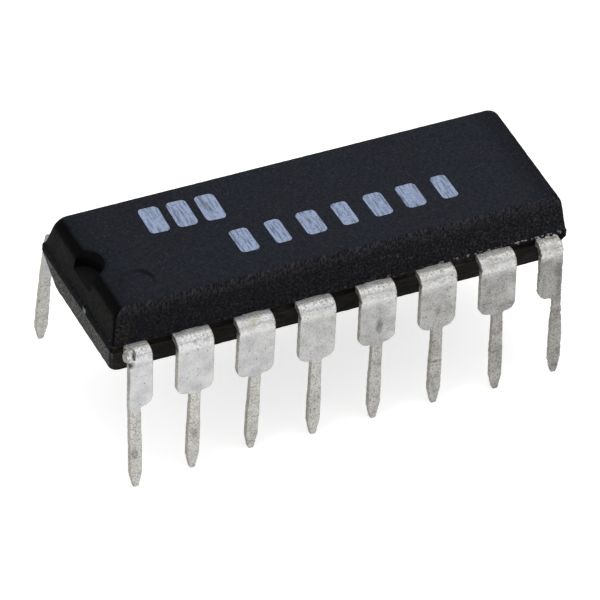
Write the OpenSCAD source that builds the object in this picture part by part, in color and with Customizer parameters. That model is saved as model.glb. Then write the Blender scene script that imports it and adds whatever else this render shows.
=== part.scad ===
// Dual in-line integrated circuit: a plastic moulding on two rows of bent leads, in millimetres.
// X runs along the rows, Y across them, and Z up from the plane on which the lead tips stand.
// Lead 1 is at the notched end of the near row, and the count goes on round the far row.

/* [Rows] */
// Leads in each of the two rows
leads_per_row = 8; // [6:1:8]
// Distance from one lead to the next along a row
lead_pitch = 2.54; // [2.4:0.02:2.8]
// Straight part of a lead, from the moulding's side out to the bend
arm_len = 0.16; // [0.1:0.01:0.5]
// Angle at which a lead leans outwards, before it is pushed into a board
lead_splay = 5.8; // [0:0.1:9]
// Height of the middle of the lead frame above the tips
frame_z = 5.88; // [5.2:0.02:6.6]

/* [Moulding] */
// Length of moulding past the middle of an end lead, along the parting line
end_len = 0.69; // [0.5:0.01:0.9]
// Width of the moulding at the parting line
body_w = 6.46; // [6.1:0.02:6.7]
// Height of the upper half above the lead frame
upper_h = 1.53; // [1.3:0.01:1.8]
// Depth of the lower half below the lead frame
lower_h = 1.62; // [1.3:0.01:1.8]
// Draft of the long sides of the upper half, in degrees
side_draft = 13.5; // [5:0.5:20]
// Draft of the ends of the upper half, in degrees
end_draft = 6.5; // [5:0.5:15]
// Draft of the long sides of the lower half, in degrees
lower_side_draft = 22; // [5:0.5:25]
// Draft of the ends of the lower half, in degrees
lower_end_draft = 14; // [5:0.5:20]
// Depth of the step from the parting band in to the upper half
band_depth = 0.05; // [0.04:0.01:0.12]
// How far the upper half sits off the lower one, away from the notched end
upper_shift = 0.03; // [0:0.01:0.04]
// Radius of the upright corners at the parting band
corner_r = 0.2; // [0.2:0.05:0.5]
// Radius of the long edges of the top face, and of all edges of the bottom face
edge_r = 0.24; // [0.1:0.02:0.3]
// Radius of the end edges of the top face
end_edge_r = 0.55; // [0.3:0.05:0.7]

/* [Moulded marks] */
// Radius of the half-round notch that marks the end with lead 1
notch_r = 0.76; // [0.4:0.02:1.1]
// Depth of the notch from the top face
notch_depth = 0.84; // [0.3:0.02:1.1]
// Diameter of the dimple beside lead 1
dimple_d = 1.4; // [0.6:0.05:1.8]
// Depth of the dimple and of the ejector marks
mark_depth = 0.06; // [0.03:0.01:0.2]
// Middle of the dimple from the notched end of the top face
dimple_x = 1.45; // [1:0.05:3]
// Middle of the dimple from the centre line, towards lead 1
dimple_y = 1.6; // [1:0.05:1.9]
// Diameter of the two ejector marks under the moulding
ejector_d = 1.9; // [1:0.1:2.5]
// Distance between the two ejector marks
ejector_pitch = 10.6; // [5:0.1:11]

/* [Leads] */
// Thickness of the strip that the leads, the pad and its ties are stamped from
strip_t = 0.25; // [0.2:0.01:0.3]
// Inside radius of the bend in a lead
bend_r = 0.2; // [0.1:0.01:0.3]
// Width of a lead at its shoulder
shoulder_w = 1.53; // [1.2:0.01:1.65]
// Radius of the lower corners of a shoulder
shoulder_r = 0.4; // [0.1:0.02:0.45]
// Height of the shoulder's lower edge above the tips
shoulder_z = 3.5; // [3:0.02:4]
// Width of a pin where it leaves its shoulder
neck_w = 0.44; // [0.4:0.01:0.6]
// Radius inside the corner between shoulder and pin
neck_r = 0.12; // [0.05:0.01:0.2]
// Width of a pin at its widest, half way down
pin_w = 0.52; // [0.45:0.01:0.62]
// Length over which a pin tapers to its tip
taper_len = 0.65; // [0.4:0.05:1.5]
// Width of the blunt tip
tip_w = 0.22; // [0.12:0.01:0.4]

/* [Lead frame inside] */
// Width of a finger where it enters the moulding
root_w = 0.86; // [0.7:0.02:0.95]
// Width of a finger at its inner end
finger_w = 0.4; // [0.3:0.01:0.5]
// Gap between the pad and the fingers
finger_gap = 0.25; // [0.2:0.01:0.35]
// Distance between the finger ends along the side of the pad
finger_pitch = 1.25; // [1:0.05:1.4]
// Length of a finger's slant beside the pad, across the rows
slant_len = 0.7; // [0.4:0.05:0.9]
// Length of the slant of an outermost finger, across the rows
outer_slant_len = 0.9; // [0.6:0.05:1]
// Length by which each next finger in from the end slants more
slant_step_len = 0.15; // [0:0.05:0.25]
// Length of the pad that carries the die
pad_len = 5.2; // [4.6:0.1:6]
// Width of the pad
pad_w = 3; // [2.6:0.1:3.2]
// Depth of the pad below the fingers
pad_drop = 0.2; // [0.05:0.01:0.3]
// Width of the two ties that hold the pad
tie_w = 0.24; // [0.2:0.01:0.4]
// Distance from the centre line to the middle of a tie's outer end
tie_offset = 0.75; // [0:0.05:0.9]
// Length over which a tie runs straight to its outer end
tie_end_len = 0.8; // [0.5:0.05:1]

/* [Die and wires] */
// Length of the die
die_len = 2.4; // [1.8:0.1:3.4]
// Width of the die
die_w = 1.8; // [1.4:0.1:2.2]
// Thickness of the die
die_t = 0.35; // [0.2:0.01:0.45]
// Thickness of the adhesive under the die
attach_t = 0.03; // [0.02:0.01:0.06]
// Fillet of adhesive that stands out round the die
attach_rim = 0.08; // [0.02:0.01:0.15]
// Distance of the bonding pads in from the die's edges
bond_inset = 0.15; // [0.1:0.01:0.25]
// Distance between bonding pads along the die's long sides
bond_pitch_x = 0.62; // [0.3:0.01:0.7]
// Distance between bonding pads along the die's short sides
bond_pitch_y = 0.42; // [0.2:0.01:0.5]
// Distance of a wire's landing back from the end of its finger
stitch_back = 0.16; // [0.1:0.01:0.3]
// Diameter of a bond wire
wire_d = 0.033; // [0.025:0.001:0.05]
// Rise of a wire's arch as a share of its span
arch_ratio = 0.25; // [0.15:0.01:0.35]
// Diameter of the flattened ball at each end of a wire
ball_d = 0.1; // [0.08:0.01:0.13]
// Height of that ball
ball_h = 0.045; // [0.04:0.001:0.07]

/* [Hidden] */
// By lead number: how far a lead is bent out past the usual splay, how far its pin is set over
// towards +X below the shoulder, and how far it leans that way, in degrees and millimetres.
bent_out = [2.6, 0.4, -1.8, -0.3, -0.4, -0.1, 1.2, 0.6, 2.6, 0.4, -1.8, -0.3, -0.4, -0.1, 1.2, 0.6];
set_over = [0.06, 0.03, 0.04, 0.01, 0.03, 0.04, 0.04, 0.1, -0.06, -0.03, -0.04, 0, -0.03, -0.04, 0, 0];
leans = [0.7, -0.5, -0.5, 0.1, -0.2, 0, 0.7, -0.2, -0.7, 0.5, 0.5, -0.1, 0.2, 0, -0.7, 3.1];

rows = 2;
lead_count = rows * leads_per_row;
corner_fn = 24;
bend_fn = 48;
body_len = (leads_per_row - 1) * lead_pitch + 2 * end_len;
frame_top = frame_z + strip_t / 2;
frame_bottom = frame_z - strip_t / 2;
body_top = frame_top + upper_h;
body_bottom = frame_bottom - lower_h;
upper_len = body_len - 2 * band_depth;
top_len = upper_len - 2 * upper_h * tan(end_draft);
notched_end_x = upper_shift - top_len / 2;
bend_y = body_w / 2 + arm_len;
bend_z = frame_bottom - bend_r;
half_shoulder = shoulder_w / 2;
half_neck = neck_w / 2;
pad_top = frame_top - pad_drop;
die_bottom = pad_top + attach_t;
die_top = die_bottom + die_t;

function two_digits(k) = str(k < 10 ? "0" : "", k);
function lead_name(k) = str("lead_", two_digits(k));
function wire_name(k) = str("bond_wire_", two_digits(k));

// Places of a lead. Every lead is drawn in the near row, and the far row is its mirror image.
function in_far_row(k) = k > leads_per_row;
function column(k) = in_far_row(k) ? lead_count + 1 - k : k;
function place(k) = column(k) - (leads_per_row + 1) / 2;
function lead_x(k) = place(k) * lead_pitch;
function outboard(k) = column(k) == 1 ? -1 : column(k) == leads_per_row ? 1 : 0;
function lead_angle(k) = lead_splay + bent_out[k - 1];

// Half widths of a shoulder towards -X and towards +X. An end lead has only the inboard half.
function reach_left(k) = outboard(k) < 0 ? half_neck : half_shoulder;
function reach_right(k) = outboard(k) > 0 ? half_neck : half_shoulder;

function arc(centre, r, from, to, steps = 6) =
    [for (s = [0:steps]) let (a = from + (to - from) * s / steps) centre + r * [cos(a), sin(a)]];
function mirrored(points) = [for (j = [len(points) - 1:-1:0]) [-points[j][0], points[j][1]]];

// Outline of one side of a lead below its bend, with x outwards from its middle and y downwards.
function shoulder_side(reach, drop) =
    reach > half_neck
    ? concat(
        [[reach, 0]],
        arc([reach - shoulder_r, drop - shoulder_r], shoulder_r, 0, 90),
        arc([half_neck + neck_r, drop + neck_r], neck_r, 270, 180)
    )
    : [[half_neck, 0], [half_neck, drop]];
function pin_side(drop, length) =
    let (half_way = (drop + length) / 2)
    [[pin_w / 2, half_way], [pin_w / 2, length - taper_len], [tip_w / 2, length]];
// Sets a pin over to one side below its shoulder, and leans it from there.
function leaned(points, drop, shift, angle) =
    [for (p = points)
        let (depth = max(0, p[1] - drop))
        [p[0] + shift * min(1, depth / neck_r) + depth * tan(angle), p[1]]];
function blade_outline(k) =
    let (
        a = lead_angle(k),
        length = (bend_z + bend_r * sin(a)) / cos(a),
        drop = bend_z - shoulder_z,
        right = concat(shoulder_side(reach_right(k), drop), pin_side(drop, length)),
        left = concat(shoulder_side(reach_left(k), drop), pin_side(drop, length))
    )
    leaned(concat(right, mirrored(left)), drop, set_over[k - 1], leans[k - 1]);

// Middle line of a finger: from the bend, in to a turn, and on to its end beside the pad.
function on_long_side(k) = abs(place(k)) < 2;
function rank_from_end(k) = (leads_per_row - 1) / 2 - abs(place(k));
function finger_lane(k) = tie_w / 2 + (finger_w + finger_gap) * rank_from_end(k) + finger_gap + finger_w / 2;
function finger_root(k) = lead_x(k) + (reach_right(k) - reach_left(k)) / 2;
function finger_tip(k) =
    on_long_side(k)
    ? [place(k) * finger_pitch, -pad_w / 2 - finger_gap]
    : [sign(place(k)) * (pad_len / 2 + finger_gap), -finger_lane(k)];
function turn_depth(k) = on_long_side(k) ? slant_len : outer_slant_len + slant_step_len * rank_from_end(k);
function finger_turn(k) = [finger_root(k), finger_tip(k)[1] - turn_depth(k)];

function unit(v) = v / norm(v);
function left_of(v) = [-v[1], v[0]];
// Outline of a strip along three points, whose half width goes from wide to narrow at the turn.
function strip_outline(a, b, c, wide, narrow) =
    let (
        n1 = left_of(unit(b - a)),
        n2 = left_of(unit(c - b)),
        m = unit(n1 + n2),
        turn = m * narrow / (m * n1)
    )
    [a + n1 * wide, b + turn, c + n2 * narrow, c - n2 * narrow, b - turn, a - n1 * wide];

module finger(k) {
    root = [finger_root(k), -bend_y];
    translate([0, 0, frame_bottom])
        linear_extrude(strip_t)
            polygon(strip_outline(root, finger_turn(k), finger_tip(k), root_w / 2, finger_w / 2));
}

// The full width from the moulding's side out to the bend, on the finger's root
module arm(k) {
    translate([lead_x(k) - reach_left(k), -bend_y, frame_bottom])
        cube([reach_left(k) + reach_right(k), arm_len, strip_t]);
}

module bend(k) {
    translate([lead_x(k) - reach_left(k), -bend_y, bend_z])
        rotate([0, 90, 0])
            rotate_extrude(angle = 90 - lead_angle(k), start = 180, $fn = bend_fn)
                translate([bend_r, 0])
                    square([strip_t, reach_left(k) + reach_right(k)]);
}

// The shoulder and its pin, flat below the bend
module blade(k) {
    translate([lead_x(k), -bend_y, bend_z])
        rotate([-90 - lead_angle(k), 0, 0])
            translate([0, 0, -bend_r - strip_t])
                linear_extrude(strip_t)
                    polygon(blade_outline(k));
}

module near_or_far(k) {
    mirror([0, in_far_row(k) ? 1 : 0, 0])
        children();
}

module lead(k) {
    color("silver")
        near_or_far(k) {
            finger(k);
            arm(k);
            bend(k);
            blade(k);
        }
}

module rounded_plate(length, width, height) {
    linear_extrude(height)
        hull()
            for (x = [-1, 1], y = [-1, 1])
                translate([x * (length / 2 - corner_r), y * (width / 2 - corner_r)])
                    circle(corner_r, $fn = corner_fn);
}

// Middle line of an end edge's round, as places of a ball of the long edges' radius
function end_round(length, height, ends, end_r) =
    let (centre = [length / 2 - (height - end_r) * tan(ends) - end_r / cos(ends), height - end_r])
    end_r > edge_r ? arc(centre, end_r - edge_r, ends, 90) : [centre];

// One half of the moulding, standing on z = 0, with drafted walls and rounded edges
module drafted_half(length, width, height, ends, sides, end_r) {
    skin = 0.01;
    hull() {
        rounded_plate(length, width, skin);
        for (at = end_round(length, height, ends, end_r), x = [-1, 1], y = [-1, 1])
            translate([x * at[0], y * (width / 2 - at[1] * tan(sides) - edge_r / cos(sides)), at[1]])
                sphere(edge_r, $fn = corner_fn);
    }
}

module moulding_outside() {
    translate([0, 0, frame_bottom])
        rounded_plate(body_len, body_w, strip_t);
    translate([upper_shift, 0, frame_top])
        drafted_half(upper_len, body_w - 2 * band_depth, upper_h, end_draft, side_draft, end_edge_r);
    translate([0, 0, frame_bottom])
        mirror([0, 0, 1])
            drafted_half(body_len, body_w, lower_h, lower_end_draft, lower_side_draft, edge_r);
}

// A round recess that goes down from a height, and is open above it
module recess(at, r, depth) {
    translate([at[0], at[1], at[2] - depth])
        cylinder(r = r, h = 2 * depth, $fn = bend_fn);
}

module moulded_body() {
    color([0.1, 0.1, 0.12])
        difference() {
            moulding_outside();
            recess([notched_end_x, 0, body_top], notch_r, notch_depth);
            recess([notched_end_x + dimple_x, -dimple_y, body_top], dimple_d / 2, mark_depth);
            for (x = [-1, 1])
                mirror([0, 0, 1])
                    recess([x * ejector_pitch / 2, 0, -body_bottom], ejector_d / 2, mark_depth);
            for (k = [1:lead_count])
                near_or_far(k)
                    finger(k);
            die_pad();
            die_attach();
            die();
            for (k = [1:lead_count])
                bond_wire(k);
        }
}

// A tie steps up beside the pad, slants aside at the frame's height, and runs out through the end.
module tie() {
    step_x = pad_len / 2 + pad_drop / 2;
    level_x = pad_len / 2 + 2 * pad_drop;
    rotate([90, 0, 0])
        translate([0, 0, -tie_w / 2])
            linear_extrude(tie_w)
                polygon([
                    [pad_len / 2 - tie_w, frame_bottom - pad_drop],
                    [step_x, frame_bottom - pad_drop],
                    [level_x, frame_bottom],
                    [level_x + tie_w, frame_bottom],
                    [level_x + tie_w, frame_top],
                    [level_x, frame_top],
                    [step_x, pad_top],
                    [pad_len / 2 - tie_w, pad_top]
                ]);
    translate([0, 0, frame_bottom])
        linear_extrude(strip_t)
            polygon(strip_outline(
                [body_len / 2, tie_offset],
                [body_len / 2 - tie_end_len, tie_offset],
                [level_x + tie_w / 2, 0],
                tie_w / 2,
                tie_w / 2
            ));
}

module die_pad() {
    color("peru") {
        translate([-pad_len / 2, -pad_w / 2, pad_top - strip_t])
            cube([pad_len, pad_w, strip_t]);
        for (turn = [0, 180])
            rotate([0, 0, turn])
                tie();
    }
}

module block_on(z, length, width, height) {
    translate([-length / 2, -width / 2, z])
        cube([length, width, height]);
}

module die_attach() {
    color("gainsboro")
        block_on(pad_top, die_len + 2 * attach_rim, die_w + 2 * attach_rim, attach_t);
}

module die() {
    color("slategray")
        block_on(die_bottom, die_len, die_w, die_t);
}

// Ends of a wire: on the die, and on the finger just behind its end
function bond_point(k) =
    on_long_side(k)
    ? [place(k) * bond_pitch_x, bond_inset - die_w / 2]
    : [sign(place(k)) * (die_len / 2 - bond_inset), -bond_pitch_y * (rank_from_end(k) + 0.5)];
function stitch_point(k) = finger_tip(k) + stitch_back * unit(finger_turn(k) - finger_tip(k));

module ball(at, z) {
    translate([at[0], at[1], z])
        cylinder(d = ball_d, h = ball_h, $fn = bend_fn);
}

// An arch in the upright plane through both ends, between the middles of the two balls
module wire_arch(k) {
    from = bond_point(k);
    run = stitch_point(k) - from;
    fall = die_top - frame_top;
    chord = norm([norm(run), fall]);
    rise = arch_ratio * chord;
    arch_r = (chord * chord / 4 + rise * rise) / (2 * rise);
    half = asin(chord / (2 * arch_r));
    translate([from[0], from[1], die_top + ball_h / 2])
        rotate([0, 0, atan2(run[1], run[0])])
            rotate([90, atan2(fall, norm(run)), 0])
                translate([chord / 2, rise - arch_r, 0])
                    rotate_extrude(angle = 2 * half, start = 90 - half, $fn = 2 * bend_fn)
                        translate([arch_r, 0])
                            circle(d = wire_d, $fn = 8);
}

module bond_wire(k) {
    color("gold")
        near_or_far(k) {
            ball(bond_point(k), die_top);
            wire_arch(k);
            ball(stitch_point(k), frame_top);
        }
}

moulded_body();
die_pad();
die_attach();
die();
for (k = [1:lead_count])
    lead(k);
for (k = [1:lead_count])
    bond_wire(k);
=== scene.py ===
"""Finished look of the dual in-line chip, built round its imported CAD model.

Settings and shapes are in metres, and the materials go by millimetres. X runs along the rows of leads, with
lead 1 at its low end, and Z is the height above the tips of the leads.
"""

import math
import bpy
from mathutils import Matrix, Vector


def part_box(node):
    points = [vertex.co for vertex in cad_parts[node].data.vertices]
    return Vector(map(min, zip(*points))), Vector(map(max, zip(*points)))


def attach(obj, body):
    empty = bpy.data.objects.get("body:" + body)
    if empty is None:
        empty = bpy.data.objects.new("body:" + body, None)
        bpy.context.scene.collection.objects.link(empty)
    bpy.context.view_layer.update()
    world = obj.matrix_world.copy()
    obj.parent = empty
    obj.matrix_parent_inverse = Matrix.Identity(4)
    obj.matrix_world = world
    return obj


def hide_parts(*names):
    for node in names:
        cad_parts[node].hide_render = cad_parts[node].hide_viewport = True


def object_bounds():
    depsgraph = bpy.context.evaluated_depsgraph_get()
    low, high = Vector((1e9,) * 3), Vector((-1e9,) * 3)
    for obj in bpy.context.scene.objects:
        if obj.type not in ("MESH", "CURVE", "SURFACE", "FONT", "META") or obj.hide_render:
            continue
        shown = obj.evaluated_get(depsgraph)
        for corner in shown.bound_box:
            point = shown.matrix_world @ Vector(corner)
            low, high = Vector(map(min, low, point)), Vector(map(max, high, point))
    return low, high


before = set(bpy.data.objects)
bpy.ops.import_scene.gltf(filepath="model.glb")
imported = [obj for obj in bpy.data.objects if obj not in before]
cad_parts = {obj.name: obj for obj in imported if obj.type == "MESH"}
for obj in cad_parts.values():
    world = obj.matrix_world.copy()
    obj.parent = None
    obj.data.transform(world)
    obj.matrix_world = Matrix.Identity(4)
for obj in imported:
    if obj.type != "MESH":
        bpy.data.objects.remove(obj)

from types import SimpleNamespace

import bmesh
import bpy
import numpy as np
from bpy.props import FloatProperty, FloatVectorProperty, PointerProperty
from mathutils import Matrix, Vector, noise

bl_info = {
    "name": "Dual in-line chip",
    "version": (1, 0, 0),
    "blender": (4, 5, 0),
    "location": "View3D > Sidebar > Chip",
    "description": "Moulding, leads, inner parts, marks and stage of a dual in-line integrated circuit",
    "category": "Object",
}

MM = 0.001
BODY_LOW, BODY_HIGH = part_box("moulded_body")
PART_LOW, PART_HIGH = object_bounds()
LEAD_COUNT = 16


def length_property(name, description, default):
    return FloatProperty(
        name=name, description=description, default=default, min=0.0, precision=6, unit="LENGTH"
    )


def colour_property(name, what, default):
    return FloatVectorProperty(
        name=name + " colour",
        description="Colour of " + what,
        default=default,
        size=3,
        min=0.0,
        max=1.0,
        subtype="COLOR",
    )


def share_property(name, description, default):
    return FloatProperty(
        name=name, description=description, default=default, min=0.0, max=1.0, subtype="FACTOR"
    )


class MouldingSettings(bpy.types.PropertyGroup):
    """Sizes and colours of the moulded body."""

    cell: length_property("Cell", "Size of a face of the moulding's mesh", 0.085 * MM)
    band_bottom: length_property("Band bottom", "Height of the parting band's lower edge", 5.755 * MM)
    band_top: length_property("Band top", "Height of the parting band's upper edge", 6.005 * MM)
    ledge_drop: length_property("Ledge drop", "Fall of the ledge at the parting band's top", 0.02 * MM)
    corner_radius: length_property("Corner radius", "Radius of the upright corners", 0.2 * MM)
    edge_radius: length_property("Edge radius", "Radius of the long edges and the lower edges", 0.24 * MM)
    end_edge_radius: length_property("End edge radius", "Radius of the top face's end edges", 0.55 * MM)
    skin: length_property("Skin", "Distance of the finished surface inside the CAD one", 0.004 * MM)
    grain_depth: length_property("Grain depth", "Depth of the spark-eroded grain on the sides", 0.022 * MM)
    top_grain_depth: length_property("Top grain depth", "Depth of the fine grain on the top", 0.003 * MM)
    notch_radius: length_property("Notch radius", "Radius of the half-round notch", 0.735 * MM)
    notch_depth: length_property("Notch depth", "Depth of the notch below the top face", 0.84 * MM)
    notch_x: FloatProperty(
        name="Notch place",
        description="Middle of the notch along the body",
        default=-9.326 * MM,
        unit="LENGTH",
    )
    dimple_radius: length_property("Dimple radius", "Radius of the dimple beside lead 1", 0.7 * MM)
    dimple_place: FloatVectorProperty(
        name="Dimple place",
        description="Middle of the dimple on the top face",
        default=(-7.876 * MM, -1.6 * MM),
        size=2,
        unit="LENGTH",
    )
    mark_depth: length_property("Mark depth", "Depth of the dimple and the ejector marks", 0.06 * MM)
    ejector_radius: length_property("Ejector radius", "Radius of the two ejector marks below", 0.95 * MM)
    ejector_pitch: length_property("Ejector pitch", "Distance between the ejector marks", 10.6 * MM)
    # The top's colour and its bluer patches hold the epoxy's own dark tone and a painted bluish sheen
    top_colour: colour_property("Top", "the top face", (0.0179, 0.0196, 0.0254))
    blue_colour: colour_property("Blue", "the top's bluer patches", (0.0177, 0.0204, 0.0274))
    side_colour: colour_property("Side", "the upper long sides", (0.0119, 0.0113, 0.0131))
    rim_colour: colour_property("Rim", "strokes at the top edges", (0.041, 0.041, 0.049))
    warm_colour: colour_property("Warm", "the patch beside lead 1", (0.045, 0.042, 0.03))
    end_colour: colour_property("End", "the upper half's ends", (0.0105, 0.0102, 0.0098))
    # Painted shade: near black on the rounds from the top face down to the ends, and in strips beside the
    # upright corners
    round_shade_colour: colour_property("Round", "the top face's end edges", (0.0026, 0.0026, 0.0028))
    # The lower long sides' brownish colour is darkened with painted shade under the leads
    lower_colour: colour_property("Lower", "the lower long sides", (0.0064, 0.0056, 0.0046))
    # Painted light: the lower ends are pale with light thrown up from the floor
    lower_end_lit_colour: colour_property("Lower end", "the lower ends", (0.07, 0.069, 0.066))
    # Painted shade: the parting band at the ends, near black under the upper half's ledge
    band_shade_colour: colour_property("Band", "the parting band at the ends", (0.0018, 0.0018, 0.0018))
    # Painted shade in the notch: near black walls, a dark floor, and a dark rim round it on the top face
    notch_shade_colour: colour_property("Hollow", "the notch's walls", (0.0025, 0.0025, 0.0027))
    notch_floor_shade_colour: colour_property("Notch floor", "the notch's floor", (0.0105, 0.0105, 0.0115))
    # Dust on the top, and painted glints on the upper sides' grain
    dust_and_glint_colour: colour_property("Speck", "dust and worn grain", (0.06, 0.062, 0.067))
    flash_colour: colour_property("Flash", "the flash at the parting line", (0.42, 0.42, 0.43))


class LeadSettings(bpy.types.PropertyGroup):
    """Sizes and colours of the solder-dipped leads."""

    voxel: length_property("Voxel", "Cell size of a lead's mesh", 0.036 * MM)
    solder_depth: length_property("Solder depth", "Depth of the uneven solder coat", 0.015 * MM)
    pitch: length_property("Pitch", "Distance between neighbouring leads", 2.54 * MM)
    blob_radius: length_property("Blob radius", "Radius of the solder blob on lead 1", 0.26 * MM)
    coat: length_property("Coat", "Thickness of the solder, down to the shoulders", 0.004 * MM)
    wall_y: length_property("Wall", "Distance of the upper half's foot from the middle", 3.18 * MM)
    # Darkening of the plates from left to right, and of the leftmost pins
    left_darkening: share_property("Left dulling", "Dulling of the leftmost plates", 0.02)
    right_darkening: share_property("Right dulling", "Dulling of the rightmost plates", 0.56)
    pin_darkening: share_property("Pin dulling", "Dulling of the leftmost pins", 0.1)
    solder_colour: colour_property("Solder", "the leftmost leads", (0.565, 0.567, 0.575))
    right_colour: colour_property("Right", "the rightmost leads", (0.59, 0.585, 0.57))
    pin_colour: colour_property("Pin", "the solder on the pins", (0.59, 0.577, 0.548))
    # Stains in the pits, and painted shade along the lower fold of the bend
    stain_and_shade_colour: colour_property("Stain", "stains", (0.3, 0.285, 0.26))
    pit_colour: colour_property("Pit", "pits and smudges", (0.06, 0.058, 0.054))
    warm_colour: colour_property("Warm", "yellowish stains", (0.5, 0.46, 0.36))
    # Painted shade along the upper crease of the bend
    crease_shade_colour: colour_property("Crease", "the line along a bend", (0.3, 0.33, 0.4))
    # Painted sheen on the right side of the plates
    painted_sheen_colour: colour_property("Sheen", "the shinier side of a plate", (0.74, 0.73, 0.7))
    sheared_colour: colour_property("Sheared", "the sheared edges", (0.3, 0.282, 0.245))


class InsideSettings(bpy.types.PropertyGroup):
    """Colours of the parts sealed in the moulding."""

    copper_colour: colour_property("Copper", "the pad and its ties", (0.62, 0.33, 0.2))
    tie_colour: colour_property("Tie", "the ties outside the body", (0.012, 0.015, 0.014))
    patina_colour: colour_property("Patina", "the ties' cut ends", (0.055, 0.11, 0.1))
    adhesive_colour: colour_property("Adhesive", "the silver adhesive", (0.55, 0.54, 0.51))
    silicon_colour: colour_property("Silicon", "the die", (0.13, 0.15, 0.21))
    gold_colour: colour_property("Gold", "the bond wires", (0.9, 0.62, 0.22))


class MarkSettings(bpy.types.PropertyGroup):
    """Sizes and colour of the plain printed marks."""

    thickness: length_property("Thickness", "Height of the ink with what lies in the surface", 0.03 * MM)
    ink_colour: colour_property("Ink", "the ink", (0.325, 0.4, 0.58))
    worn_colour: colour_property("Worn", "the ink where it is thin", (0.05, 0.058, 0.08))


def angle_property(name, description, degrees):
    return FloatProperty(
        name=name, description=description, default=math.radians(degrees), unit="ROTATION"
    )


def power_property(name, description, default):
    return FloatProperty(name=name, description=description, default=default, min=0.0, unit="POWER")


class StageSettings(bpy.types.PropertyGroup):
    """Camera, lights and floor."""

    azimuth: angle_property("Azimuth", "Turn of the camera round the chip", -29.839)
    elevation: angle_property("Elevation", "Camera's angle above the floor", 41.266)
    roll: angle_property("Roll", "Camera's turn about its own axis", 6.205)
    distance: length_property("Distance", "Distance from the camera to its target", 310 * MM)
    target: FloatVectorProperty(
        name="Target",
        description="Point that the camera looks at",
        default=(0.045 * MM, 0.0, 2.791 * MM),
        size=3,
        unit="LENGTH",
    )
    lens: FloatProperty(name="Lens", description="Focal length in millimetres", default=488.4, min=1.0)
    key_power: power_property("Key power", "Power of the main soft light", 1.0)
    fill_power: power_property("Fill power", "Power of the fill light", 0.35)
    world_strength: FloatProperty(
        name="World strength", description="Strength of the even light all round", default=0.6, min=0.0
    )
    floor_lift: share_property("Floor lift", "Light that the floor adds where it is seen", 0.6)


# Materials


def set_inputs(tree, node, inputs):
    """Sets a node's inputs to values, or links them to sockets."""
    for name, value in inputs.items():
        if isinstance(value, bpy.types.NodeSocket):
            tree.links.new(value, node.inputs[name])
        else:
            node.inputs[name].default_value = value


def add_node(tree, kind, inputs=None, **settings):
    """A new node with its settings made, and its inputs set or linked."""
    new = tree.nodes.new(kind)
    for name, value in settings.items():
        setattr(new, name, value)
    set_inputs(tree, new, inputs or {})
    return new


def calculate(tree, operation, *values):
    """The output of a Math node. With more than two values, each is taken with the result so far."""
    inputs = dict(enumerate(values[:2]))
    result = add_node(tree, "ShaderNodeMath", inputs, operation=operation).outputs[0]
    for value in values[2:]:
        result = add_node(tree, "ShaderNodeMath", {0: result, 1: value}, operation=operation).outputs[0]
    return result


def multiply(tree, *values):
    """The product of values."""
    return calculate(tree, "MULTIPLY", *values)


def unsigned(tree, value):
    """A value without its sign."""
    return calculate(tree, "ABSOLUTE", value)


def vector_math(tree, operation, inputs, output="Vector"):
    """An output of a Vector Math node."""
    return add_node(tree, "ShaderNodeVectorMath", inputs, operation=operation).outputs[output]


def remap(tree, value, low, high, to_low=0.0, to_high=1.0):
    """A value's range from low to high turned into another one, and held within it."""
    inputs = {"Value": value, "From Min": low, "From Max": high, "To Min": to_low, "To Max": to_high}
    return add_node(tree, "ShaderNodeMapRange", inputs).outputs["Result"]


def blend_colour(tree, share, first, second):
    """Two colours mixed by the second one's share. A plain colour has three numbers."""
    new = add_node(tree, "ShaderNodeMix", data_type="RGBA")
    colours = [c if isinstance(c, bpy.types.NodeSocket) else (*c, 1.0) for c in (first, second)]
    set_inputs(tree, new, {0: share, 6: colours[0], 7: colours[1]})
    return new.outputs[2]


def paint(tree, colour, *layers):
    """A colour with others laid over it in turn, each given as its share and its colour."""
    for share, over in layers:
        colour = blend_colour(tree, share, colour, over)
    return colour


def scaled(tree, colour, gain):
    """A colour made lighter or darker by a factor."""
    return vector_math(tree, "SCALE", {0: colour, "Scale": gain})


def shade(tree, colour, value, low, high, to_low, to_high):
    """A colour made lighter or darker by a value, which is remapped to the factor."""
    return scaled(tree, colour, remap(tree, value, low, high, to_low, to_high))


def millimetres(tree):
    """The place on the object, in millimetres."""
    place = add_node(tree, "ShaderNodeTexCoord").outputs["Object"]
    return vector_math(tree, "SCALE", {0: place, "Scale": 1 / MM})


def split(tree, vector):
    """A vector's three parts."""
    return add_node(tree, "ShaderNodeSeparateXYZ", {"Vector": vector}).outputs


def combine(tree, x, y, z=0.0):
    """A vector made of three parts."""
    return add_node(tree, "ShaderNodeCombineXYZ", {"X": x, "Y": y, "Z": z}).outputs["Vector"]


def surface_normal(tree):
    """The three parts of the surface's direction."""
    return split(tree, add_node(tree, "ShaderNodeNewGeometry").outputs["Normal"])


def cloud(tree, place, scale, detail=2.0, roughness=0.5, stretch=(1.0, 1.0, 1.0)):
    """Soft noise from 0 to 1, with scale features to a millimetre."""
    moved = add_node(tree, "ShaderNodeMapping", {"Vector": place, "Scale": stretch}).outputs["Vector"]
    inputs = {"Vector": moved, "Scale": scale, "Detail": detail, "Roughness": roughness}
    return add_node(tree, "ShaderNodeTexNoise", inputs).outputs["Fac"]


def cells(tree, place, scale):
    """Distance from the middles of random cells, for pits."""
    inputs = {"Vector": place, "Scale": scale}
    return add_node(tree, "ShaderNodeTexVoronoi", inputs).outputs["Distance"]


def bump(tree, height, depth):
    """A normal from a height from 0 to 1 that stands for a depth in metres."""
    inputs = {"Height": height, "Distance": depth, "Strength": 1.0}
    return add_node(tree, "ShaderNodeBump", inputs).outputs["Normal"]


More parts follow.
